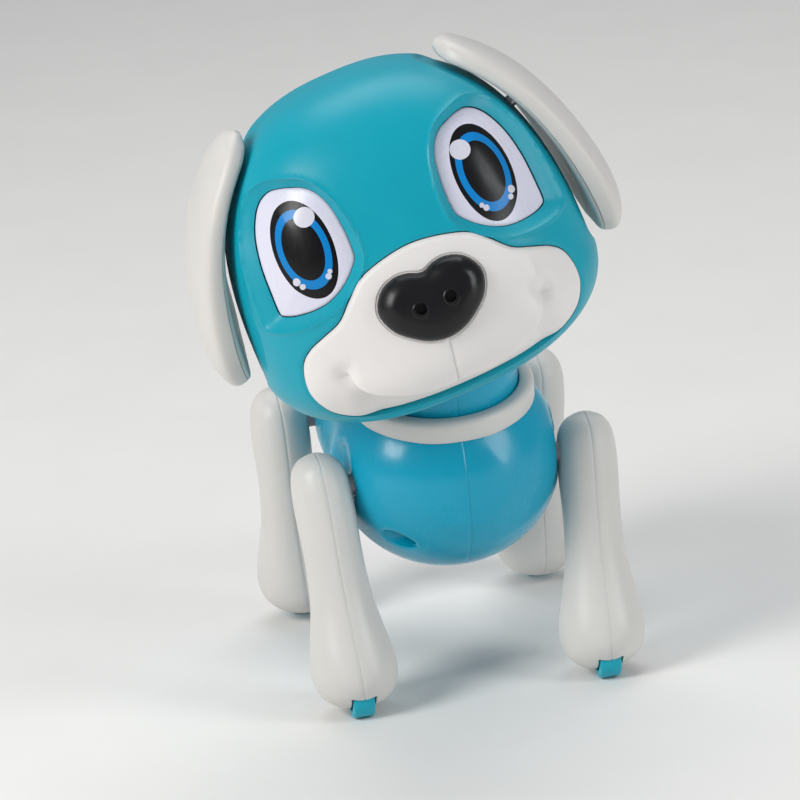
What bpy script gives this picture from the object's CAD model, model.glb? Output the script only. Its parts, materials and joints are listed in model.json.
"""The looks of the walking robot puppy: its moulded shells, face, ears and legs, and their plastics.

Every piece is shaped in millimetres in the neutral pose: head pieces from the head's own centre, leg
pieces from their hip, body pieces in the body's own coordinates. place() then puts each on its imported
body at rest.
"""

import json
import math

import bmesh
import bpy
import numpy as np
from mathutils import Matrix, Vector


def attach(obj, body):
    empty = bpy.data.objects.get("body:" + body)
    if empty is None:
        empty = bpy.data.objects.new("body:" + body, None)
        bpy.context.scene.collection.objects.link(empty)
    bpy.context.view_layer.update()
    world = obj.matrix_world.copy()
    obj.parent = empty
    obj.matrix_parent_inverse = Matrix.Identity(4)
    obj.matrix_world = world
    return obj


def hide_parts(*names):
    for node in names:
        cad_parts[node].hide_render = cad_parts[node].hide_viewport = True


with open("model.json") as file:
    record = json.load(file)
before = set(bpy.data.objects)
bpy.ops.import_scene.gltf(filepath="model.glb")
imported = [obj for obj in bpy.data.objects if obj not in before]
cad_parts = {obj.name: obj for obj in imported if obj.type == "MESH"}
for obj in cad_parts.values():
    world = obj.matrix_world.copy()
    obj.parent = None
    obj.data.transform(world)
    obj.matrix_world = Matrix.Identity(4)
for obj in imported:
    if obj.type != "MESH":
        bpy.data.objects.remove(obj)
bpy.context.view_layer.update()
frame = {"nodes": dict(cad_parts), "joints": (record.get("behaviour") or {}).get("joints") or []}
JOINTS = {joint["name"]: joint for joint in frame["joints"]}

MM = 0.001
SINK_STEPS = 3  # rows of faces down the wall of a sunken hole
GAP = 0.3

# Wall thickness of the moulded skins
BODY_WALL = 1.8
MUZZLE_WALL = 1.6
LEG_WALL = 1.5
LENS_WALL = 1.2

# Rest pose, and where the parts sit in the neutral pose
HEAD_TURN = -2.0
HEAD_TILT = -16.5
LEG_SWING = 11.2
NECK_PIVOT = Vector(JOINTS["head_tilt"]["pos_m"]) / MM
NECK_AXIS = Vector(JOINTS["neck_turn"]["axis"])
NECK_PIVOT_UP = 20.5
COLLAR_BASE = Vector((0.0, -28.3, 87.0))
BODY_AT = NECK_PIVOT - COLLAR_BASE - NECK_AXIS * NECK_PIVOT_UP
HEAD_CENTRE = Vector((0.0, -50.0, 149.5)) + BODY_AT

# Head
HEAD_HALF_W = 53.2
HEAD_UP = 71.5
HEAD_DOWN = 28.5
HEAD_WIDE_Z = -21.5
HEAD_FRONT = 45.0
HEAD_BACK = 46.0
SPLIT_Y = 11.0
FACE_ELEVATION = math.radians(18.5)
FACE_DIRECTION = np.array([0.0, -math.cos(FACE_ELEVATION), math.sin(FACE_ELEVATION)])
FACE_UP = np.array([0.0, math.sin(FACE_ELEVATION), math.cos(FACE_ELEVATION)])
RIM_DEEP = 2.8

# Body
NECK_R = 23.0
COLLAR_R = 27.7
COLLAR_H = 7.5
HIP_X, HIP_Y, HIP_Z = 40.8, 35.8, 68.0
HIP_FLAT_X = 31.2
CHEST_Y, CHEST_Z = -24.0, 68.3
CHEST_R = (34.8, 34.5, 33.0)

# Legs
LEG_INWARD_SLOPE = 0.045
WHEEL_R = 7.0
WHEEL_W = 6.6
WHEEL_DROP = 62.8
WHEEL_FORWARD = 3.0
FOOT_LIFT = {"front": 0.0, "back": 1.0}

# Camera
CAMERA_AZIMUTH = -9.4
CAMERA_ELEVATION = 17.4
CAMERA_ROLL = -6.0
CAMERA_AIM = Vector((1.304, 19.43, 80.32))
CAMERA_DISTANCE = 1890.2
CAMERA_LENS = 279.0
FLOOR_HALF = 6.0  # metres


# ---------------------------------------------------------------- plastics and metals


def new_material(name):
    mat = bpy.data.materials.new(name)
    mat.use_nodes = True
    return mat, mat.node_tree, mat.node_tree.nodes["Principled BSDF"]


def noise(tree, scale, detail=3.0, stretch=None):
    """A noise texture in the model's own coordinates; scale counts features per metre."""
    coords = tree.nodes.new("ShaderNodeTexCoord")
    source = coords.outputs["Object"]
    if stretch:
        mapping = tree.nodes.new("ShaderNodeMapping")
        mapping.inputs["Scale"].default_value = stretch
        tree.links.new(source, mapping.inputs["Vector"])
        source = mapping.outputs["Vector"]
    texture = tree.nodes.new("ShaderNodeTexNoise")
    texture.inputs["Scale"].default_value = scale
    texture.inputs["Detail"].default_value = detail
    tree.links.new(source, texture.inputs["Vector"])
    return texture.outputs["Fac"]


def between(tree, factor, low, high):
    """Maps a noise to the range from low to high."""
    scaled = tree.nodes.new("ShaderNodeMapRange")
    scaled.inputs["From Min"].default_value = 0.3
    scaled.inputs["From Max"].default_value = 0.7
    scaled.inputs["To Min"].default_value = low
    scaled.inputs["To Max"].default_value = high
    tree.links.new(factor, scaled.inputs["Value"])
    return scaled.outputs["Result"]


def plastic(name, colour, roughness=0.32, mottle=0.05, grain=0.12, coat=0.0, scatter=0.0, shine=0.35):
    """Injection-moulded plastic: slightly uneven colour and gloss, fine mould grain and faint rub marks."""
    mat, tree, shader = new_material(name)
    shade = tree.nodes.new("ShaderNodeMix")
    shade.data_type = "RGBA"
    shade.inputs["A"].default_value = (*[c * (1 - mottle) for c in colour], 1)
    shade.inputs["B"].default_value = (*[min(1.0, c * (1 + mottle) + 0.004) for c in colour], 1)
    tree.links.new(between(tree, noise(tree, 22, 4), 0, 1), shade.inputs["Factor"])
    tree.links.new(shade.outputs["Result"], shader.inputs["Base Color"])
    rub = tree.nodes.new("ShaderNodeMath")
    rub.operation = "ADD"
    tree.links.new(between(tree, noise(tree, 70, 5), -0.04, 0.04), rub.inputs[0])
    tree.links.new(between(tree, noise(tree, 900, 2, (1.0, 1.0, 0.12)), roughness - 0.02, roughness + 0.03),
                   rub.inputs[1])
    tree.links.new(rub.outputs["Value"], shader.inputs["Roughness"])
    bump = tree.nodes.new("ShaderNodeBump")
    bump.inputs["Strength"].default_value = grain
    bump.inputs["Distance"].default_value = 0.00004
    tree.links.new(noise(tree, 2000, 2), bump.inputs["Height"])
    tree.links.new(bump.outputs["Normal"], shader.inputs["Normal"])
    shader.inputs["Specular IOR Level"].default_value = shine
    shader.inputs["Coat Weight"].default_value = coat
    shader.inputs["Coat Roughness"].default_value = 0.12
    if scatter:
        shader.inputs["Subsurface Weight"].default_value = scatter
        shader.inputs["Subsurface Radius"].default_value = (1.0, 0.9, 0.8)
        shader.inputs["Subsurface Scale"].default_value = 0.003
    return mat


def metal(name, colour=(0.60, 0.60, 0.61), roughness=0.3):
    """Plated steel with fine drawn lines."""
    mat, tree, shader = new_material(name)
    shader.inputs["Metallic"].default_value = 1.0
    shade = tree.nodes.new("ShaderNodeMix")
    shade.data_type = "RGBA"
    shade.inputs["A"].default_value = (*[c * 0.82 for c in colour], 1)
    shade.inputs["B"].default_value = (*colour, 1)
    tree.links.new(between(tree, noise(tree, 300, 4), 0, 1), shade.inputs["Factor"])
    tree.links.new(shade.outputs["Result"], shader.inputs["Base Color"])
    lines = noise(tree, 1500, 3, (0.08, 1.0, 1.0))
    tree.links.new(between(tree, lines, roughness - 0.08, roughness + 0.1), shader.inputs["Roughness"])
    return mat


def make_looks():
    looks = {
        "head_turquoise": plastic("head_turquoise", (0.0, 0.31, 0.41), 0.36, grain=0.10, shine=0.3),
        "body_turquoise": plastic("body_turquoise", (0.0, 0.31, 0.47), 0.24, grain=0.05, coat=0.1),
        "wheel_turquoise": plastic("wheel_turquoise", (0.0, 0.34, 0.45), 0.34, grain=0.2),
        "white": plastic("white_satin", (0.60, 0.585, 0.56), 0.38, 0.015, grain=0.10, scatter=0.25),
        "muzzle_white": plastic("muzzle_white", (0.72, 0.695, 0.68), 0.42, 0.015, grain=0.10, scatter=0.25),
        "nose_black": plastic("nose_black", (0.004, 0.004, 0.005), 0.30, 0.2, grain=0.15, shine=0.3),
        "eye_white": plastic("eye_white", (0.66, 0.65, 0.76), 0.28, 0.01, grain=0.02),
        "iris_black": plastic("iris_black", (0.002, 0.002, 0.003), 0.30, 0.2, grain=0.02, shine=0.25),
        "ring_blue": plastic("ring_blue", (0.0, 0.20, 0.55), 0.30, 0.08, grain=0.02, shine=0.25),
        "eye_spark": plastic("eye_spark", (0.60, 0.60, 0.68), 0.28, 0.01, grain=0.02),
        "black": plastic("black_plastic", (0.02, 0.02, 0.022), 0.4, 0.15),
        "grey": plastic("grey_plastic", (0.32, 0.33, 0.34), 0.5, 0.06, grain=0.3),
        "natural": plastic("acetal", (0.78, 0.76, 0.70), 0.42, 0.03, scatter=0.2),
        "board": plastic("circuit_board", (0.02, 0.13, 0.05), 0.35, 0.25, grain=0.3),
        "cell": plastic("cell_wrap", (0.05, 0.055, 0.065), 0.3, 0.2),
        "steel": metal("plated_steel"),
    }
    return looks


def look_for(node):
    """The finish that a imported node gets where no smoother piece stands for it."""
    starts = {
        "battery_cell": "cell", "battery_contact": "steel", "battery_door_screw": "steel",
        "chest_screw": "steel", "head_screw": "steel", "tilt_pin": "steel", "ear_axle": "steel",
        "wheel_axle": "steel", "motor_pinion": "natural", "motor": "steel",
        "drive_bar": "natural", "crank_gear_shaft": "natural", "crank_": "grey",
        "hip_lever": "grey", "neck_yoke": "grey", "head_chassis": "grey", "main_board": "board",
        "eye_led_board": "board", "nose_sensor_board": "board", "speaker": "black", "power_switch": "black",
    }
    for start, look in starts.items():
        if node.startswith(start):
            return look
    return "white"


# ---------------------------------------------------------------- mesh tools


def mesh_of(points, faces, weld=0.0):
    mesh = bpy.data.meshes.new("work")
    mesh.from_pydata([tuple(p) for p in points], [], [tuple(f) for f in faces])
    body = bmesh.new()
    body.from_mesh(mesh)
    bpy.data.meshes.remove(mesh)
    if weld:
        bmesh.ops.remove_doubles(body, verts=body.verts, dist=weld)
    bmesh.ops.recalc_face_normals(body, faces=body.faces)
    return body


def spots(body):
    return np.array([v.co for v in body.verts], float).reshape(-1, 3)


def normals(body):
    body.normal_update()
    return np.array([v.normal for v in body.verts], float).reshape(-1, 3)


def put(body, points):
    for vertex, point in zip(body.verts, points):
        vertex.co = point


def carve(body, field, level=0.0):
    """Cuts an edge loop into the mesh along field = level. Points nearly on the line are moved onto it."""
    body.verts.index_update()
    value = field(spots(body)) - level
    on = np.abs(value) < 1e-6
    for edge in body.edges:
        a, b = edge.verts
        va, vb = value[a.index], value[b.index]
        if va * vb >= 0 or on[a.index] or on[b.index] or abs(va - vb) > 20:
            continue
        t = va / (va - vb)
        if t < 0.15:
            a.co = a.co.lerp(b.co, t)
            on[a.index] = True
        elif t > 0.85:
            b.co = b.co.lerp(a.co, 1 - t)
            on[b.index] = True
    crossing = []
    for edge in body.edges:
        a, b = edge.verts[0].index, edge.verts[1].index
        if value[a] * value[b] < 0 and not on[a] and not on[b] and abs(value[a] - value[b]) < 20:
            crossing.append((edge, value[a] / (value[a] - value[b])))
    line = [v for v in body.verts if on[v.index]]
    for edge, t in crossing:
        line.append(bmesh.utils.edge_split(edge, edge.verts[0], t)[1])
    bmesh.ops.connect_verts(body, verts=line)


def keep(body, wanted):
    """Keeps the faces whose middle the function accepts."""
    middles = np.array([f.calc_center_median() for f in body.faces], float).reshape(-1, 3)
    chosen = wanted(middles)
    drop = [face for face, good in zip(body.faces, chosen) if not good]
    bmesh.ops.delete(body, geom=drop, context="FACES")
    return body


def ease(low, high, value):
    """0 below low, 1 above high, and smooth between."""
    t = np.clip((value - low) / (high - low), 0, 1)
    return t * t * (3 - 2 * t)


def closed_curve(outline, count):
    """A smooth closed curve through the outline's points, as evenly spaced points."""
    total = len(outline)
    dense = []
    for i in range(total):
        a, b, c, d = (np.array(outline[(i + k) % total], float) for k in (-1, 0, 1, 2))
        for t in np.linspace(0, 1, 12, endpoint=False):
            dense.append(0.5 * (2 * b + (c - a) * t + (2 * a - 5 * b + 4 * c - d) * t**2
                                + (3 * b - a - 3 * c + d) * t**3))
    return even(np.array(dense + dense[:1]), count, closed=True)


def open_curve(points, count):
    """A smooth curve through rows of any length, evenly spaced along its first two or three columns."""
    rows = np.array(points, float)
    ends = np.vstack([2 * rows[0] - rows[1], rows, 2 * rows[-1] - rows[-2]])
    dense = []
    for i in range(1, len(ends) - 2):
        a, b, c, d = ends[i - 1:i + 3]
        for t in np.linspace(0, 1, 12, endpoint=False):
            dense.append(0.5 * (2 * b + (c - a) * t + (2 * a - 5 * b + 4 * c - d) * t**2
                                + (3 * b - a - 3 * c + d) * t**3))
    dense.append(rows[-1])
    return even(np.array(dense), count)


def even(dense, count, closed=False):
    along = np.concatenate([[0], np.cumsum(np.linalg.norm(np.diff(dense, axis=0), axis=1))])
    marks = np.linspace(0, along[-1], count, endpoint=not closed)
    return np.stack([np.interp(marks, along, dense[:, k]) for k in range(dense.shape[1])], 1)


def distance_to(outline):
    """A function from points in a plane to their distance from the outline, negative inside it."""
    start = np.array(outline, float)
    end = np.roll(start, -1, axis=0)
    run = end - start
    low, high = start.min(0) - 8, start.max(0) + 8

    def field(flat):
        away = np.full(len(flat), 50.0)
        near = ((flat > low) & (flat < high)).all(1)
        p = flat[near][:, None, :]
        t = np.clip(((p - start) * run).sum(-1) / (run * run).sum(-1), 0, 1)
        gap = np.linalg.norm(p - start - t[..., None] * run, axis=-1).min(1)
        over = (start[:, 1] > p[..., 1]) != (end[:, 1] > p[..., 1])
        slope = np.where(np.abs(run[:, 1]) < 1e-9, 1e-9, run[:, 1])
        right = start[:, 0] + (p[..., 1] - start[:, 1]) * run[:, 0] / slope > p[..., 0]
        inside = (over & right).sum(1) % 2 == 1
        away[near] = np.where(inside, -gap, gap)
        return away

    return field


def rounded_box(centre, half, corner):
    """The distance field of a rectangle with round corners."""
    def field(flat):
        q = np.abs(flat - np.array(centre)) - (np.array(half) - corner)
        return np.linalg.norm(np.maximum(q, 0), axis=1) + np.minimum(q.max(1), 0) - corner
    return field


def lathe(profile, count):
    """A body of revolution about Z. The profile runs from axis to axis, or is a closed outline."""
    points = []
    rows = []
    for radius, height in profile:
        if radius < 1e-6:
            rows.append([len(points)] * count)
            points.append((0, 0, height))
            continue
        rows.append(list(range(len(points), len(points) + count)))
        for j in range(count):
            a = 2 * math.pi * j / count
            points.append((radius * math.cos(a), radius * math.sin(a), height))
    pairs = list(zip(rows[:-1], rows[1:]))
    if profile[0][0] > 1e-6:
        pairs.append((rows[-1], rows[0]))
    faces = []
    for a, b in pairs:
        for j in range(count):
            k = (j + 1) % count
            face = list(dict.fromkeys((a[j], a[k], b[k], b[j])))
            if len(face) > 2:
                faces.append(face)
    return mesh_of(points, faces)


def loft(rings):
    """A solid drawn through the rings, closed at both ends."""
    count = len(rings[0])
    points = np.concatenate(rings)
    faces = []
    for i in range(len(rings) - 1):
        for j in range(count):
            k = (j + 1) % count
            faces.append((i * count + j, i * count + k, (i + 1) * count + k, (i + 1) * count + j))
    faces.append(tuple(range(count)))
    faces.append(tuple(range((len(rings) - 1) * count, len(rings) * count)))
    return mesh_of(points, faces)


def sink(body, field, direction, depth):
    """Drops the faces inside the field and lines the hole with a wall and a floor."""
    carve(body, field)
    keep(body, lambda p: field(p) > 0)
    rim = [e for e in body.edges if e.is_boundary and max(abs(field(spots_of(e.verts)))) < 0.06]
    way = Vector(direction).normalized() * (depth / SINK_STEPS)
    for _ in range(SINK_STEPS):
        made = bmesh.ops.extrude_edge_only(body, edges=rim)["geom"]
        ends = [g for g in made if isinstance(g, bmesh.types.BMVert)]
        bmesh.ops.translate(body, verts=ends, vec=way)
        ends = set(ends)
        rim = [g for g in made if isinstance(g, bmesh.types.BMEdge)]
        rim = [e for e in rim if e.verts[0] in ends and e.verts[1] in ends and e.is_boundary]
    bmesh.ops.holes_fill(body, edges=rim, sides=0)
    return body


def spots_of(vertices):
    return np.array([v.co for v in vertices], float)


def place(name, body, matrix, look, rides, stands_for=(), wall=0.0, sharp=38.0):
    """Turns the work mesh into a piece at rest, with a wall if it is a skin, and hands it to its body."""
    mesh = bpy.data.meshes.new(name)
    body.normal_update()
    body.to_mesh(mesh)
    body.free()
    mesh.transform(Matrix.Scale(MM, 4) @ matrix)
    obj = bpy.data.objects.new(name, mesh)
    bpy.context.scene.collection.objects.link(obj)
    for entry in (look if isinstance(look, (list, tuple)) else [look]):
        mesh.materials.append(entry)
    if wall:
        modifier = obj.modifiers.new("wall", "SOLIDIFY")
        modifier.thickness = wall * MM
        modifier.offset = -1.0
        graph = bpy.context.evaluated_depsgraph_get()
        thick = bpy.data.meshes.new_from_object(obj.evaluated_get(graph))
        obj.modifiers.clear()
        obj.data = thick
        thick.name = name
    for polygon in obj.data.polygons:
        polygon.use_smooth = True
    obj.data.set_sharp_from_angle(angle=math.radians(sharp))
    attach(obj, rides)
    for node in stands_for:
        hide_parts(node)
    return obj


# ---------------------------------------------------------------- head


def head_matrix():
    turn = Matrix.Rotation(math.radians(HEAD_TURN), 4, NECK_AXIS)
    tilt = Matrix.Rotation(math.radians(HEAD_TILT), 4, (0, 1, 0))
    return Matrix.Translation(NECK_PIVOT) @ turn @ tilt @ Matrix.Translation(HEAD_CENTRE - NECK_PIVOT)


def head_level(points):
    """Below 1 inside the plain head shape, above 1 outside it. The crown is squarer than the jaw."""
    above = points[:, 2] > HEAD_WIDE_Z
    depth = np.where(points[:, 1] > 0, HEAD_BACK, HEAD_FRONT)
    flat = np.abs(points[:, 0] / HEAD_HALF_W) ** 2.5 + np.abs(points[:, 1] / depth) ** 2.5
    power = np.where(above, 2.5, 2.25)
    height = np.where(above, HEAD_UP, HEAD_DOWN)
    return (flat ** (power / 2.5) + np.abs((points[:, 2] - HEAD_WIDE_Z) / height) ** power) ** (1 / power)


def head_points(direction):
    """Points of the head's outer surface, from its centre, in the given directions."""
    d = np.array(direction, float)
    size = head_level(d + np.array([0, 0, HEAD_WIDE_Z]))
    point = d / size[:, None]
    point[:, 2] += HEAD_WIDE_Z
    swell = np.exp(-np.abs(point[:, 0] / 28.0) ** 2.4 - np.abs((point[:, 2] + 15.0) / 18.0) ** 2.2)
    front = point[:, 1] < 0
    point[:, 1] -= np.where(front, 6.5 * swell * np.minimum(1.0, -point[:, 1] / 30.0), 0.0)
    return point


def head_skin(cells):
    """The whole head as an evenly divided closed skin."""
    ticks = np.tan(np.linspace(-math.pi / 4, math.pi / 4, cells + 1))
    a, b = np.meshgrid(ticks, ticks, indexing="ij")
    one = np.ones_like(a)
    points = []
    faces = []
    for side in ((one, a, b), (-one, b, a), (b, one, a), (a, -one, b), (a, b, one), (b, a, -one)):
        base = len(points) * (cells + 1) ** 2
        points.append(head_points(np.stack(side, -1).reshape(-1, 3)))
        index = np.arange((cells + 1) ** 2).reshape(cells + 1, cells + 1) + base
        corners = (index[:-1, :-1], index[1:, :-1], index[1:, 1:], index[:-1, 1:])
        faces.append(np.stack([c.ravel() for c in corners], 1))
    return mesh_of(np.concatenate(points), np.concatenate(faces), weld=0.02)


def head_patch(turn, rise, step):
    """A finely divided stretch of the head's front, between two turns and two rises in degrees."""
    across = np.radians(np.arange(turn[0], turn[1] + step / 2, step))
    up = np.radians(np.arange(rise[0], rise[1] + step / 2, step))
    a, b = np.meshgrid(across, up, indexing="ij")
    d = np.stack([np.sin(a) * np.cos(b), -np.cos(a) * np.cos(b), np.sin(b)], -1)
    index = np.arange(a.size).reshape(a.shape)
    corners = (index[:-1, :-1], index[1:, :-1], index[1:, 1:], index[:-1, 1:])
    body = mesh_of(head_points(d.reshape(-1, 3)), np.stack([c.ravel() for c in corners], 1))
    if (normals(body) @ FACE_DIRECTION).mean() < 0:
        bmesh.ops.reverse_faces(body, faces=body.faces)
    return body


def on_face(points):
    """Head points as seen straight on: across and up."""
    return np.stack([points[:, 0], points @ FACE_UP], 1)


def face_field(flat_field):
    def field(points):
        away = np.full(len(points), 50.0)
        front = points @ FACE_DIRECTION > 0
        away[front] = flat_field(on_face(points[front]))
        return away
    return field


def mirrored(half):
    return half + [(-a, b) for a, b in reversed(half[1:-1])]


MUZZLE_HALF = [
    (0, -5.9), (14.8, -8.6), (21.3, -13.0), (27.0, -18.4), (32.6, -20.6), (37.9, -22.5), (41.4, -25.6),
    (42.8, -31.4), (42.0, -36.6), (38.6, -42.0), (32.0, -46.0), (22.5, -48.7), (11.9, -50.0), (0, -50.4),
]
EYE_OUTLINE = [
    (29.6, 25.2), (21.6, 21.6), (17.5, 15.1), (16.0, 6.2), (16.0, -1.2), (17.1, -4.3), (22.2, -8.9),
    (28.1, -11.9), (33.6, -12.7), (39.6, -12.0), (43.0, -10.6), (43.9, -9.4), (43.9, -3.0), (43.4, 6.2),
    (41.5, 15.1), (38.0, 22.0), (34.0, 25.2),
]
NOSE_HALF = [
    (0, -14.6), (4.0, -13.2), (8.0, -12.9), (12.5, -14.6), (15.6, -18.4), (16.2, -22.5), (14.0, -27.6),
    (9.5, -31.6), (5.2, -34.0), (0, -35.0),
]
MOUTH = [
    (-31.2, -32.8), (-28.2, -38.0), (-23.0, -41.6), (-16.3, -44.3), (-10.0, -45.5), (-2.3, -45.6),
    (9.0, -45.9), (15.8, -44.6), (22.3, -41.8), (27.0, -38.0), (29.6, -32.8),
]
EYE_MIDDLE = (29.2, 5.0)
IRIS_HALF = (9.0, 15.4)
RING_HALF = (7.7, 12.4)
PUPIL_HALF = (5.8, 9.6)
EYE_LIGHTS = [  # middle, counted from the eye's own, and radius
    ((-4.0, 8.6), 3.1), ((-3.6, -10.2), 0.95), ((-4.6, -9.0), 0.75), ((5.6, -8.0), 1.2), ((4.6, -10.0), 0.9),
]
NOSTRIL = (4.6, -24.4)


def eye_field(sign):
    outline = [(sign * a, b) for a, b in closed_curve(EYE_OUTLINE, 120)]
    return face_field(distance_to(outline))


def rim_field(sign):
    """Runs from 0 at the lens edge to 1 at the outer edge of the sloping rim, widest below the eye."""
    lens = eye_field(sign)

    def field(points):
        wide = np.clip(2.7 - 0.055 * (on_face(points)[:, 1] - 4.0), 1.9, 3.6)
        return lens(points) / wide

    return field


def muzzle_field():
    return face_field(distance_to(closed_curve(mirrored(MUZZLE_HALF), 160)))


def nose_field():
    return face_field(distance_to(closed_curve(mirrored(NOSE_HALF), 110)))


def throat_field(points):
    """The distance outside the neck opening on the head's underside."""
    p = points + np.array(HEAD_CENTRE - NECK_PIVOT)
    axis = np.array(NECK_AXIS)
    along = p @ axis
    radius = np.linalg.norm(p - along[:, None] * axis, axis=1)
    return np.where(along < 12, radius - 26.4, 50.0)


EAR_LINE = [  # x, z, half thickness, half width, from the top end to the tip
    (31.6, 47.4, 0.8, 1.6), (33.6, 45.2, 3.2, 8.0), (37.6, 40.6, 4.6, 12.5), (43.6, 33.6, 5.2, 15.5),
    (49.8, 24.2, 5.4, 18.0), (55.2, 10.8, 5.8, 20.0), (58.6, -3.0, 6.0, 21.0), (59.6, -12.5, 5.8, 20.0),
    (59.2, -19.0, 5.2, 16.5), (58.4, -23.6, 3.8, 11.0), (57.6, -26.0, 0.8, 3.0),
]
EAR_BACK = 4.0
EAR_AXLE = (47.6, 22.0)
EAR_LEAN = 22.0
EAR_CLEAR = (0.5, 2.2)
EAR_REST = {"left": 0.0, "right": -9.0}
EAR_SEAM = 4.4


def pocket_field(points):
    """The distance outside the ear's shallow pocket on either side of the head."""
    line = np.array([(x, z) for x, z, _, _ in EAR_LINE])
    run = np.diff(line, axis=0)
    length = np.linalg.norm(run, axis=1)
    starts = np.concatenate([[0], np.cumsum(length)])
    half = np.array([wide for _, _, _, wide in EAR_LINE])
    flat = np.stack([np.abs(points[:, 0]), points[:, 2]], 1)[:, None, :]
    raw = ((flat - line[:-1]) * run).sum(-1) / length**2
    first_open = raw.copy()
    first_open[:, 1:] = np.clip(raw[:, 1:], 0, 1)
    first_open[:, 0] = np.minimum(raw[:, 0], 1)
    first_open[:, -1] = np.maximum(raw[:, -1], 0)
    gap = np.linalg.norm(flat - line[:-1] - first_open[..., None] * run, axis=-1)
    best = gap.argmin(1)
    rows = np.arange(len(points))
    along = starts[best] + first_open[rows, best] * length[best]
    outline = [(s, w) for s, w in zip(starts, half)] + [(s, -w) for s, w in zip(starts[::-1], half[::-1])]
    field = distance_to(closed_curve(outline, 90))(np.stack([along, points[:, 1] - EAR_BACK], 1))
    side = np.abs(points[:, 0]) > 20
    return np.where(side, field - 3.2, 50.0)


def build_head_shells(looks):
    body = head_skin(72)
    eyes = [rim_field(1), rim_field(-1)]
    muzzle = muzzle_field()
    for eye in eyes:
        for level in (0.05, 0.45, 0.86, 1.0, 1.22):
            carve(body, eye, level)
    for level in (GAP, 1.1):
        carve(body, muzzle, level)
    for level in (0.0, 1.2, 2.4):
        carve(body, throat_field, level)
    for level in (-1.6, -0.5, 0.5):
        carve(body, pocket_field, level)
    for level in (-0.7, -0.12, 0.12, 0.7):
        carve(body, lambda p: p[:, 1], SPLIT_Y + level)
    screw = Vector((0, 0, 18))
    hole = lambda p: np.where(p[:, 1] > 0, np.hypot(p[:, 0] - screw.x, p[:, 2] - screw.z) - 3.2, 50.0)
    carve(body, hole)
    carve(body, hole, 0.6)

    where = spots(body)
    out = normals(body)
    drop = np.zeros(len(where))
    for eye in eyes:
        d = eye(where)
        drop += RIM_DEEP * np.clip(1.0 - d, 0, 1) - 0.5 * np.exp(-((d - 1.06) / 0.14) ** 2)
    drop += 0.35 * (1 - ease(GAP, 1.1, muzzle(where)))
    drop += 1.6 * (1 - ease(0.0, 2.4, throat_field(where)))
    pocket = pocket_field(where)
    drop += 0.9 * (1 - ease(-1.6, 0.5, pocket))
    seam = np.abs(where[:, 1] - SPLIT_Y)
    drop += 0.45 * (1 - ease(0.0, 0.75, seam))
    drop += 0.4 * (1 - ease(0.0, 0.6, hole(where)))
    moved = where - out * drop[:, None]

    keep(body, lambda p: np.minimum(eyes[0](p), eyes[1](p)) > 0.05)
    keep(body, lambda p: muzzle(p) > GAP)
    keep(body, lambda p: throat_field(p) > 0)
    keep(body, lambda p: hole(p) > 0)
    key = {tuple(np.round(w, 5)): m for w, m in zip(where, moved)}
    back = body.copy()
    keep(body, lambda p: p[:, 1] < SPLIT_Y - 0.12)
    keep(back, lambda p: p[:, 1] > SPLIT_Y + 0.12)
    for half, name in ((body, "head_face_shell"), (back, "head_back_shell")):
        for vertex in half.verts:
            vertex.co = key[tuple(np.round(np.array(vertex.co, float), 5))]
        place("skin_" + name, half, head_matrix(), looks["head_turquoise"], "head", [name], wall=1.8)


def build_muzzle(looks):
    body = head_patch((-72, 72), (-75, 38), 1.0)
    border = muzzle_field()
    nose = nose_field()
    carve(body, border)
    keep(body, lambda p: border(p) < 0)
    for level in (-0.35, -0.8, -1.6):
        carve(body, border, level)
    for level in (0.5, 0.15, -1.0):
        carve(body, nose, level)
    mouth = open_curve(MOUTH, 80)

    def lip(points):
        flat = on_face(points)
        line = np.interp(flat[:, 0], mouth[:, 0], mouth[:, 1])
        return flat[:, 1] - line

    for level in (-0.9, 0.0, 0.9):
        carve(body, lip, level)

    def crease(points):
        flat = on_face(points)
        return flat[:, 0] + 0.6 + 1.6 * ease(-36, -46, flat[:, 1])

    for level in (-0.6, 0.0, 0.6):
        carve(body, crease, level)
    where = spots(body)
    out = normals(body)
    flat = on_face(where)
    d = border(where)
    rise = 0.55 - 0.95 * (1 - ease(0, 1.6, -d)) ** 2 * (1 - 0.8 * ease(-45, -48, flat[:, 1]))
    reach = 1 - ease(25, 34, np.abs(flat[:, 0]))
    s = lip(where)
    upper = 2.8 * np.exp(-(np.maximum(s, 0) / 7.0) ** 2) * ease(-0.9, 0.9, s)
    lower = (-1.4 - 0.25 * np.minimum(np.abs(s), 3.0)) * (1 - ease(-0.9, 0.2, s))
    rise += (upper + lower) * reach
    for u, v in (MOUTH[0], MOUTH[-1]):
        rise -= 1.9 * np.exp(-((flat[:, 0] - u) ** 2 + (flat[:, 1] - v) ** 2) / (2 * 2.3**2))
        rise += 0.9 * np.exp(-((flat[:, 0] - u * 1.2) ** 2 + (flat[:, 1] - v) ** 2) / (2 * 4.5**2))
    below = ease(-34.5, -36.0, flat[:, 1]) * ease(-48.5, -45.5, flat[:, 1])
    rise -= 0.6 * np.exp(-(crease(where) / 0.5) ** 2) * below
    rise -= 0.35 * (1 - ease(0.15, 0.45, nose(where)))
    put(body, where + out * rise[:, None])
    place("skin_muzzle", body, head_matrix(), looks["muzzle_white"], "head", ["muzzle"], wall=MUZZLE_WALL)


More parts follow.
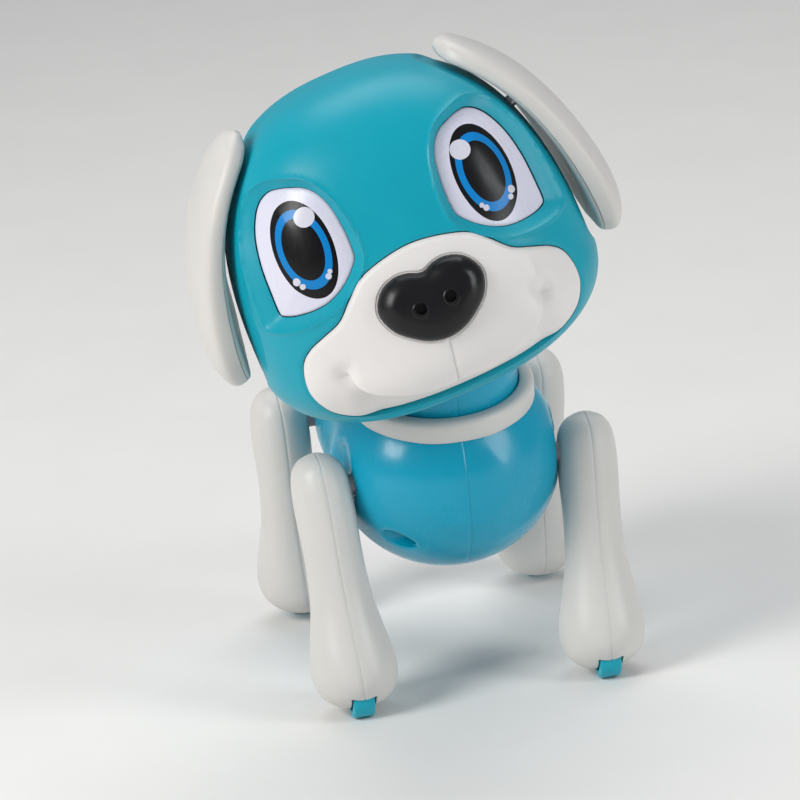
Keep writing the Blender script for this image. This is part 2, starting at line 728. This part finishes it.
def build_nose(looks):
    body = head_patch((-24, 24), (-22, 42), 0.55)
    border = nose_field()
    carve(body, border)
    keep(body, lambda p: border(p) < 0)
    for level in (-0.4, -1.0, -2.0, -3.6):
        carve(body, border, level)

    def nostril(points):
        flat = on_face(points)
        return np.hypot(np.abs(flat[:, 0]) - NOSTRIL[0], flat[:, 1] - NOSTRIL[1]) - 1.75

    for level in (0.55, 0.25):
        carve(body, nostril, level)
    where = spots(body)
    out = normals(body)
    flat = on_face(where)
    d = np.minimum(border(where), 0)
    reach = np.clip(-d / 5.5, 0, 1)
    rise = -0.5 + 4.4 * np.sqrt(1 - (1 - reach) ** 2)
    rise += 0.9 * np.exp(-((np.abs(flat[:, 0]) - 10.0) ** 2 + (flat[:, 1] + 20.0) ** 2) / 40.0) * reach
    rise += 0.3 * (1 - ease(0.2, 0.6, nostril(where)))
    put(body, where + out * rise[:, None])
    sink(body, nostril, -FACE_DIRECTION, 3.0)
    place("skin_nose", body, head_matrix(), looks["nose_black"], "head", ["nose"], wall=0.9, sharp=30)


def oval(middle, half):
    def field(points):
        flat = (on_face(points) - np.array(middle)) / np.array(half)
        return (np.linalg.norm(flat, axis=1) - 1) * min(half)
    return field


def build_eye(side, sign, looks):
    """The printed lens: sclera, black iris, blue ring and light spots, each its own stretch of one mesh."""
    turns = (14, 72) if sign > 0 else (-72, -14)
    body = head_patch(turns, (12, 72), 0.6)
    border = eye_field(sign)
    carve(body, border, -0.04)
    keep(body, lambda p: border(p) < -0.04)
    for level in (-0.3, -0.8):
        carve(body, border, level)
    middle = (sign * EYE_MIDDLE[0], EYE_MIDDLE[1])
    iris = oval(middle, IRIS_HALF)
    ring = oval(middle, RING_HALF)
    pupil = oval(middle, PUPIL_HALF)
    sparks = [oval((middle[0] + sign * u, middle[1] + v), (r, r)) for (u, v), r in EYE_LIGHTS]
    for field in [iris, ring, pupil] + sparks:
        carve(body, field)
    middles = np.array([f.calc_center_median() for f in body.faces], float)
    shade = np.zeros(len(middles), int)
    shade[iris(middles) < 0] = 1
    shade[ring(middles) < 0] = 2
    shade[pupil(middles) < 0] = 1
    for spark in sparks:
        shade[spark(middles) < 0] = 3
    for face, index in zip(body.faces, shade):
        face.material_index = int(index)
    where = spots(body)
    out = normals(body)
    d = border(where)
    rise = -RIM_DEEP + 0.05 + 1.2 * ease(0, 13, -d) - 0.3 * (1 - ease(0, 0.8, -d)) ** 2
    put(body, where + out * rise[:, None])
    look = [looks[name] for name in ("eye_white", "iris_black", "ring_blue", "eye_spark")]
    place(f"skin_eye_{side}", body, head_matrix(), look, "head", [f"eye_panel_{side}"], wall=LENS_WALL)


def ear_section():
    """Angles round the ear's section and how far each is drawn in, with a fine seam along both edges."""
    outer = [(a, 0.0) for a in np.linspace(-84, 84, 25)]
    inner = [(90, 0.0), (92, 0.0), (EAR_SEAM + 89.6, 0.1), (EAR_SEAM + 90, 0.9), (EAR_SEAM + 90.8, 0.5)]
    inner += [(98, 0.45)]
    inner += [(a, 0.45) for a in (103, 109, 116, 124, 133, 143, 154, 167, 180)]
    section = outer + inner + [(360 - a, drawn) for a, drawn in reversed(inner[:-1])]
    return np.radians([a for a, _ in section]), np.array([drawn for _, drawn in section])


def build_ear(side, sign, looks):
    """A thick flap: rounded outside, and hugging the side of the head inside."""
    line = open_curve(EAR_LINE, 72)
    angle, drawn = ear_section()
    c, s = np.cos(angle), np.sin(angle)
    rings = []
    for i, (x, z, thick, wide) in enumerate(line):
        before, after = line[max(i - 1, 0)], line[min(i + 1, len(line) - 1)]
        run = np.array([after[0] - before[0], 0, after[1] - before[1]])
        run /= np.linalg.norm(run)
        out = np.array([-run[2], 0, run[0]])
        b = np.sign(s) * (np.abs(s) ** 0.9 * wide - np.minimum(drawn, wide * 0.1))
        spine = np.array([x, EAR_BACK, z]) + np.array([0, 1.0, 0]) * b[:, None]
        clear = EAR_CLEAR[0] + (EAR_CLEAR[1] - EAR_CLEAR[0]) * i / (len(line) - 1)
        depth = np.full(len(b), 0.4)
        for _ in range(116):
            free = head_level(spine - out * (depth + clear)[:, None]) > 1
            depth = np.where(free, np.minimum(depth + 0.1, 12.0), depth)
        full = min(1.0, thick / 4.0)
        a = np.where(c > 0, np.abs(c) ** 0.75 * thick, -np.abs(c) ** 0.28 * depth * full)
        ring = spine + out * a[:, None]
        ring[:, 0] *= sign
        rings.append(ring)
    lean = math.radians(EAR_LEAN)
    axle = Vector((sign * EAR_AXLE[0], EAR_BACK, EAR_AXLE[1]))
    swing = Matrix.Rotation(math.radians(EAR_REST[side]), 4, (sign * math.cos(lean), 0, math.sin(lean)))
    at = head_matrix() @ Matrix.Translation(axle) @ swing @ Matrix.Translation(-axle)
    place(f"skin_ear_{side}", loft(rings), at, looks["white"], f"{side}_ear", [f"ear_{side}"])


# ---------------------------------------------------------------- body


BODY_LINE = [  # y, half width, top, bottom
    (-22.0, 34.8, 101.3, 35.3), (-4.0, 33.0, 98.6, 37.4), (16.0, 31.3, 95.8, 40.8), (34.0, 30.0, 92.4, 43.6),
    (44.0, 27.6, 88.8, 47.0), (50.0, 20.2, 83.2, 52.6), (52.4, 13.5, 78.6, 57.4), (53.4, 5.5, 73.2, 63.0),
]
DOOR = ((0.0, 4.75), (18.15, 26.4))
SLOT = ((10.6, 38.5), (2.6, 5.3))
CHEST_SCREW = (-45.1, 51.7)
TAIL_LINE = [  # y, z, radius, slope of the axis in radians
    (49.5, 77.5, 5.2, 0.5), (52.0, 79.0, 5.2, 0.6), (56.5, 82.8, 5.2, 0.8), (60.0, 87.4, 4.8, 1.05),
    (62.2, 92.2, 4.0, 1.25), (63.2, 95.8, 2.8, 1.4), (63.6, 97.6, 0.8, 1.5),
]


def body_skin():
    """The torso without its neck: a round chest that runs back into a slimmer, rounded rump."""
    rows = []
    for degrees in (89.5, 86, 80, 72, 65, 51, 38, 25, 12):
        a = math.radians(degrees)
        reach = CHEST_R[2] * math.cos(a)
        y = CHEST_Y - CHEST_R[1] * math.sin(a)
        rows.append((y, CHEST_R[0] * math.cos(a), CHEST_Z + reach, CHEST_Z - reach))
    rows += BODY_LINE + [(53.6, 1.0, 69.2, 67.4)]
    line = open_curve(rows, 110)
    count = 120
    angle = 2 * np.pi * (np.arange(count) + 0.5) / count
    rings = []
    for y, half, top, bottom in line:
        power = 2.0 + 0.35 * min(1.0, max(0.0, (y + 24) / 30))
        c, s = np.cos(angle), np.sin(angle)
        x = np.sign(c) * np.abs(c) ** (2 / power) * half
        z = np.sign(s) * np.abs(s) ** (2 / power) * (top - bottom) / 2 + (top + bottom) / 2
        rings.append(np.stack([x, np.full(count, y), z], 1))
    body = loft(rings)
    where = spots(body)
    for sy in (1, -1):
        away = np.hypot(where[:, 1] - sy * HIP_Y, where[:, 2] - HIP_Z)
        limit = HIP_FLAT_X + 3.8 * ease(12.4, 15.8, away)
        where[:, 0] = np.sign(where[:, 0]) * np.minimum(np.abs(where[:, 0]), limit)
    put(body, where)
    return body


def neck_frame(points):
    """Height along the neck axis, distance from it, and the angle round it."""
    p = points - np.array(COLLAR_BASE)
    axis = np.array(NECK_AXIS)
    along = p @ axis
    across = p - along[:, None] * axis
    forward = np.cross(axis, [1.0, 0, 0])
    return along, np.linalg.norm(across, axis=1), np.arctan2(across @ forward, across[:, 0])


def neck_hole(points):
    along, radius, _ = neck_frame(points)
    return np.where(along > -25, radius - NECK_R - 0.6, 50.0)


def grow_neck(body):
    """Raises the neck and its ball top out of the hole in the torso."""
    carve(body, neck_hole)
    keep(body, lambda p: neck_hole(p) > 0)
    rim = [e for e in body.edges if e.is_boundary]
    base = {v for e in rim for v in e.verts}
    along, _, turn = neck_frame(spots_of(base))
    start = {v: (h, a) for v, h, a in zip(base, along, turn)}
    heights = [("mix", t) for t in np.linspace(0.1, 1.0, 8)]
    heights += [("wall", h) for h in np.linspace(6.0, NECK_PIVOT_UP, 7)[1:]]
    heights += [("ball", a) for a in np.radians(np.linspace(4, 53, 12))]
    axis = NECK_AXIS
    forward = axis.cross(Vector((1, 0, 0)))
    lower = {v: v for v in base}
    for kind, value in heights:
        upper = {}
        for vertex in base:
            h0, a = start[vertex]
            radius = NECK_R
            h = value
            if kind == "mix":
                h = h0 + (6.0 - h0) * value + 0.4
                radius = NECK_R + 0.6 * max(0.0, 1 - value * 4)
                h = min(h, 6.0)
            elif kind == "ball":
                h = NECK_PIVOT_UP + NECK_R * math.sin(value)
                radius = NECK_R * math.cos(value)
            side = Vector((1, 0, 0)) * math.cos(a) + forward * math.sin(a)
            upper[vertex] = body.verts.new(COLLAR_BASE + axis * h + side * radius)
        for edge in rim:
            a, b = edge.verts
            body.faces.new((lower[a], lower[b], upper[b], upper[a]))
        lower = upper
    bmesh.ops.recalc_face_normals(body, faces=body.faces)


def build_torso(looks):
    body = body_skin()
    grow_neck(body)
    belly = lambda flat_field: lambda p: np.where(p[:, 2] < 60, flat_field(p[:, :2]), 50.0)
    door = belly(rounded_box(*DOOR, 2.5))
    slot = belly(rounded_box(*SLOT, 0.8))
    screw = lambda p: np.where((p[:, 0] < -5) & (p[:, 1] < -20),
                               np.hypot(p[:, 1] - CHEST_SCREW[0], p[:, 2] - CHEST_SCREW[1]) - 3.3, 50.0)
    hips = [lambda p, sx=sx, sy=sy: np.where(p[:, 0] * sx > 20,
                                             np.hypot(p[:, 1] - sy * HIP_Y, p[:, 2] - HIP_Z) - 3.4, 50.0)
            for sx in (1, -1) for sy in (1, -1)]
    for level in (-0.75, -0.15, 0.15, 0.75):
        carve(body, door, level)
    for level in (0.0, 0.5):
        carve(body, slot, level)
        carve(body, screw, level)
        for hip in hips:
            carve(body, hip, level)
    for level in (-0.4, -0.02, 0.02, 0.4):
        carve(body, lambda p: p[:, 0], level)
    where = spots(body)
    out = normals(body)
    drop = 0.16 * (1 - ease(0.0, 0.4, np.abs(where[:, 0]))) * (door(where) > 0.1)
    drop += 0.4 * (1 - ease(0.1, 0.8, np.abs(door(where))))
    for field in [slot, screw] + hips:
        drop += 0.3 * (1 - ease(0.0, 0.5, field(where)))
    put(body, where - out * drop[:, None])

    lid = body.copy()
    keep(lid, lambda p: door(p) < -0.15)
    place("skin_battery_door", lid, Matrix.Translation(BODY_AT), looks["body_turquoise"], "body",
          ["battery_door"], wall=BODY_WALL)
    keep(body, lambda p: door(p) > 0.15)
    keep(body, lambda p: slot(p) > 0)
    keep(body, lambda p: np.min([hip(p) for hip in hips], 0) > 0)
    sink(body, screw, (1, 0, 0), 9.0)
    right = body.copy()
    keep(body, lambda p: p[:, 0] > 0.02)
    keep(right, lambda p: p[:, 0] < -0.02)
    for half, side in ((body, "left"), (right, "right")):
        place(f"skin_body_{side}", half, Matrix.Translation(BODY_AT), looks["body_turquoise"], "body",
              [f"body_shell_{side}"], wall=BODY_WALL)


def build_collar(looks):
    """The collar band, its underside fitted to the shoulders."""
    h = COLLAR_H
    profile = [(NECK_R + 0.35, -9.0), (COLLAR_R - 0.4, -9.0), (COLLAR_R, -2.0)]
    for degrees in range(0, 91, 15):
        a = math.radians(degrees)
        profile.append((COLLAR_R - 2.0 + 2.0 * math.cos(a), h - 2.0 + 2.0 * math.sin(a)))
    profile += [(NECK_R + 1.1, h), (NECK_R + 0.5, h - 0.3), (NECK_R + 0.35, h - 0.8)]
    band = lathe(profile, 96)
    turn = Vector((0, 0, 1)).rotation_difference(NECK_AXIS).to_matrix().to_4x4()
    band.transform(Matrix.Translation(COLLAR_BASE) @ turn)
    torso = body_skin()
    where = spots(torso)
    put(torso, where + normals(torso) * 0.25)
    band = less(band, torso)
    place("skin_collar", band, Matrix.Translation(BODY_AT), looks["white"], "body", ["collar"])


def solid_object(body):
    mesh = bpy.data.meshes.new("work")
    bmesh.ops.triangulate(body, faces=body.faces)
    body.to_mesh(mesh)
    body.free()
    obj = bpy.data.objects.new("work", mesh)
    bpy.context.scene.collection.objects.link(obj)
    return obj


def less(body, tool):
    """The first closed body with the second cut out of it."""
    kept, cutter = solid_object(body), solid_object(tool)
    modifier = kept.modifiers.new("cut", "BOOLEAN")
    modifier.operation = "DIFFERENCE"
    modifier.solver = "EXACT"
    modifier.object = cutter
    bpy.context.view_layer.update()
    mesh = bpy.data.meshes.new_from_object(kept.evaluated_get(bpy.context.evaluated_depsgraph_get()))
    result = bmesh.new()
    result.from_mesh(mesh)
    for obj in (kept, cutter):
        bpy.data.objects.remove(obj)
    return result


def build_screw(node, at, outward, matrix, rides, looks, length, head_r):
    """A pan-head screw with a cross recess; at is the middle of the top of its head."""
    profile = [(0, -length), (0.7, -length), (1.1, -length + 1.0), (1.1, -1.6), (head_r, -1.6)]
    profile += [(head_r, -0.9), (head_r * 0.92, -0.45), (head_r * 0.7, -0.15), (head_r * 0.35, -0.02), (0, 0)]
    screw = lathe(profile, 40)
    for long, short in ((head_r * 0.62, 0.28), (0.28, head_r * 0.62)):
        slot = bmesh.new()
        bmesh.ops.create_cube(slot, size=1.0, matrix=Matrix.Diagonal((2 * long, 2 * short, 2.2, 1)))
        screw = less(screw, slot)
    turn = Vector((0, 0, 1)).rotation_difference(Vector(outward)).to_matrix().to_4x4()
    place("skin_" + node, screw, matrix @ Matrix.Translation(at) @ turn, looks["steel"], rides, [node],
          sharp=30)


def build_screws(looks):
    body = Matrix.Translation(BODY_AT)
    build_screw("head_screw", (0, 40.2, 18), (0, 1, 0), head_matrix(), "head", looks, 22.0, 2.6)
    build_screw("battery_door_screw", (0, -18.3, 36.4), (0, 0, -1), body, "body", looks, 5.2, 2.5)
    build_screw("chest_screw", (-10.9, -45.1, 51.7), (-1, 0, 0), body, "body", looks, 16.0, 2.9)


def build_tail(looks):
    rings = []
    for y, z, r, tilt in open_curve(TAIL_LINE, 40):
        angle = 2 * np.pi * np.arange(40) / 40
        s = np.sin(angle) * r
        rings.append(np.stack([np.cos(angle) * r, y - s * math.sin(tilt), z + s * math.cos(tilt)], 1))
    place("skin_tail", loft(rings), Matrix.Translation(BODY_AT), looks["white"], "body", ["tail"])


# ---------------------------------------------------------------- legs


LEG_LINE = [  # height above the hip, half width, half depth
    (10.4, 2.8, 3.2), (8.6, 6.0, 7.2), (4.4, 8.3, 9.8), (-4.0, 9.1, 10.6), (-20.0, 8.8, 9.6), (-33.0, 9.4, 9.6),
    (-42.0, 10.9, 11.0), (-51.0, 12.7, 13.0), (-57.5, 12.9, 13.4), (-62.6, 11.0, 11.5), (-65.8, 7.2, 7.7),
    (-67.0, 2.8, 3.1),
]


def build_leg(end, side, looks):
    """A leg in two halves, with a slot in the foot for its wheel, and the wheel."""
    sx = 1 if side == "left" else -1
    way = -1 if end == "front" else 1
    hip = Vector((sx * HIP_X, way * HIP_Y, HIP_Z)) + BODY_AT
    at = Matrix.Translation(hip) @ Matrix.Rotation(math.radians(way * LEG_SWING), 4, "X")
    line = open_curve([(11.0, 0.4, 0.4)] + LEG_LINE + [(-67.3, 0.4, 0.4)], 90)
    count = 72
    angle = 2 * np.pi * (np.arange(count) + 0.5) / count
    line[:, 0] += FOOT_LIFT[end] * np.clip((-55 - line[:, 0]) / 12, 0, 1)
    rings = [np.stack([np.cos(angle) * wide, np.sin(angle) * deep, np.full(count, z)], 1)
             for z, wide, deep in line]
    body = loft(rings)
    wheel_x = -sx * LEG_INWARD_SLOPE * WHEEL_DROP
    wheel_y = way * WHEEL_FORWARD
    for level in (-0.4, -0.02, 0.02, 0.4):
        carve(body, lambda p: p[:, 0], level)
    where = spots(body)
    drop = 0.16 * (1 - ease(0.0, 0.4, np.abs(where[:, 0])))
    moved = where - normals(body) * drop[:, None]
    moved[:, 0] += sx * LEG_INWARD_SLOPE * moved[:, 2]
    put(body, moved)
    slot = rounded_box((wheel_x, wheel_y), (WHEEL_W / 2 + 0.5, 7.6), 0.3)
    notch = lambda p: np.where(p[:, 2] < -50, slot(p[:, :2]), 50.0)
    carve(body, notch, 0.5)
    sink(body, notch, (0, 0, 1), 9.0)
    plane = lambda p: p[:, 0] - sx * LEG_INWARD_SLOPE * p[:, 2]
    outer = body.copy()
    keep(outer, lambda p: sx * plane(p) > 0.015)
    keep(body, lambda p: sx * plane(p) < -0.015)
    rides = f"{end}_{side}_leg"
    for half, part in ((outer, "outer"), (body, "inner")):
        place(f"skin_leg_{part}_{end}_{side}", half, at, looks["white"], rides, [f"leg_{part}_{end}_{side}"],
              wall=LEG_WALL)

    w = WHEEL_W / 2
    profile = [(1.3, -w + 0.8), (4.2, -w + 0.8), (4.8, -w)]
    for degrees in range(-90, 91, 18):
        a = math.radians(degrees)
        flank = math.copysign(w - 0.9, degrees or 1) * (degrees != 0)
        profile.append((WHEEL_R - 0.9 + 0.9 * math.cos(a), flank + 0.9 * math.sin(a)))
    profile += [(4.8, w), (4.2, w - 0.8), (1.3, w - 0.8)]
    wheel = lathe(profile, 72)
    hub = Matrix.Translation((wheel_x, wheel_y, -WHEEL_DROP))
    wheel.transform(hub @ Matrix.Rotation(math.pi / 2, 4, "Y"))
    place(f"skin_wheel_{end}_{side}", wheel, at, looks["wheel_turquoise"], f"{end}_{side}_wheel",
          [f"foot_wheel_{end}_{side}"])


# ---------------------------------------------------------------- stage


def area_light(name, at, aim, size, power, colour=(1, 1, 1)):
    light = bpy.data.lights.new(name, "AREA")
    light.shape = "RECTANGLE"
    light.size, light.size_y = size
    light.energy = power
    light.color = colour
    obj = bpy.data.objects.new(name, light)
    bpy.context.scene.collection.objects.link(obj)
    obj.location = at
    obj.rotation_euler = (Vector(aim) - Vector(at)).to_track_quat("-Z", "Y").to_euler()


def build_stage():
    mesh = bpy.data.meshes.new("floor")
    corners = [(x * FLOOR_HALF, y * FLOOR_HALF, 0) for x, y in ((-1, -1), (1, -1), (1, 1), (-1, 1))]
    mesh.from_pydata(corners, [], [(0, 1, 2, 3)])
    floor = bpy.data.objects.new("floor", mesh)
    bpy.context.scene.collection.objects.link(floor)
    mesh.materials.append(plastic("floor_card", (0.80, 0.79, 0.77), 0.6, 0.01, grain=0.05))

    world = bpy.data.worlds.new("studio")
    world.use_nodes = True
    world.node_tree.nodes["Background"].inputs["Color"].default_value = (0.92, 0.95, 1.0, 1)
    world.node_tree.nodes["Background"].inputs["Strength"].default_value = 0.3
    bpy.context.scene.world = world
    bpy.context.scene.view_settings.view_transform = "Standard"
    area_light("key", (-1.0, -0.45, 0.75), (0, 0, 0.1), (0.5, 0.7), 12.6, (1.0, 0.99, 0.97))
    area_light("fill", (0.9, -0.75, 0.5), (0, 0, 0.1), (0.4, 0.9), 6.5, (0.97, 0.99, 1.0))
    area_light("top", (0.1, 0.5, 1.2), (0, 0, 0.1), (1.0, 0.7), 6.0)


def build_camera():
    a, t, roll = (math.radians(v) for v in (CAMERA_AZIMUTH, CAMERA_ELEVATION, CAMERA_ROLL))
    right = Vector((math.cos(a), math.sin(a), 0))
    back = Vector((math.sin(a) * math.cos(t), -math.cos(a) * math.cos(t), math.sin(t)))
    up = back.cross(right)
    right, up = right * math.cos(roll) + up * math.sin(roll), up * math.cos(roll) - right * math.sin(roll)
    data = bpy.data.cameras.new("camera")
    data.lens = CAMERA_LENS
    data.sensor_width = 36.0
    data.clip_end = 50.0
    camera = bpy.data.objects.new("camera", data)
    bpy.context.scene.collection.objects.link(camera)
    turned = Matrix((right, up, back)).transposed().to_4x4()
    camera.matrix_world = Matrix.Translation((CAMERA_AIM + back * CAMERA_DISTANCE) * MM) @ turned
    bpy.context.scene.camera = camera


def dress_nodes(looks):
    for name, node in frame["nodes"].items():
        node.data.materials.clear()
        node.data.materials.append(looks[look_for(name)])


looks = make_looks()
dress_nodes(looks)
build_head_shells(looks)
build_muzzle(looks)
build_nose(looks)
for side, sign in (("left", 1), ("right", -1)):
    build_eye(side, sign, looks)
    build_ear(side, sign, looks)
build_torso(looks)
build_collar(looks)
build_tail(looks)
build_screws(looks)
for end in ("front", "back"):
    for side in ("left", "right"):
        build_leg(end, side, looks)
build_stage()
build_camera()
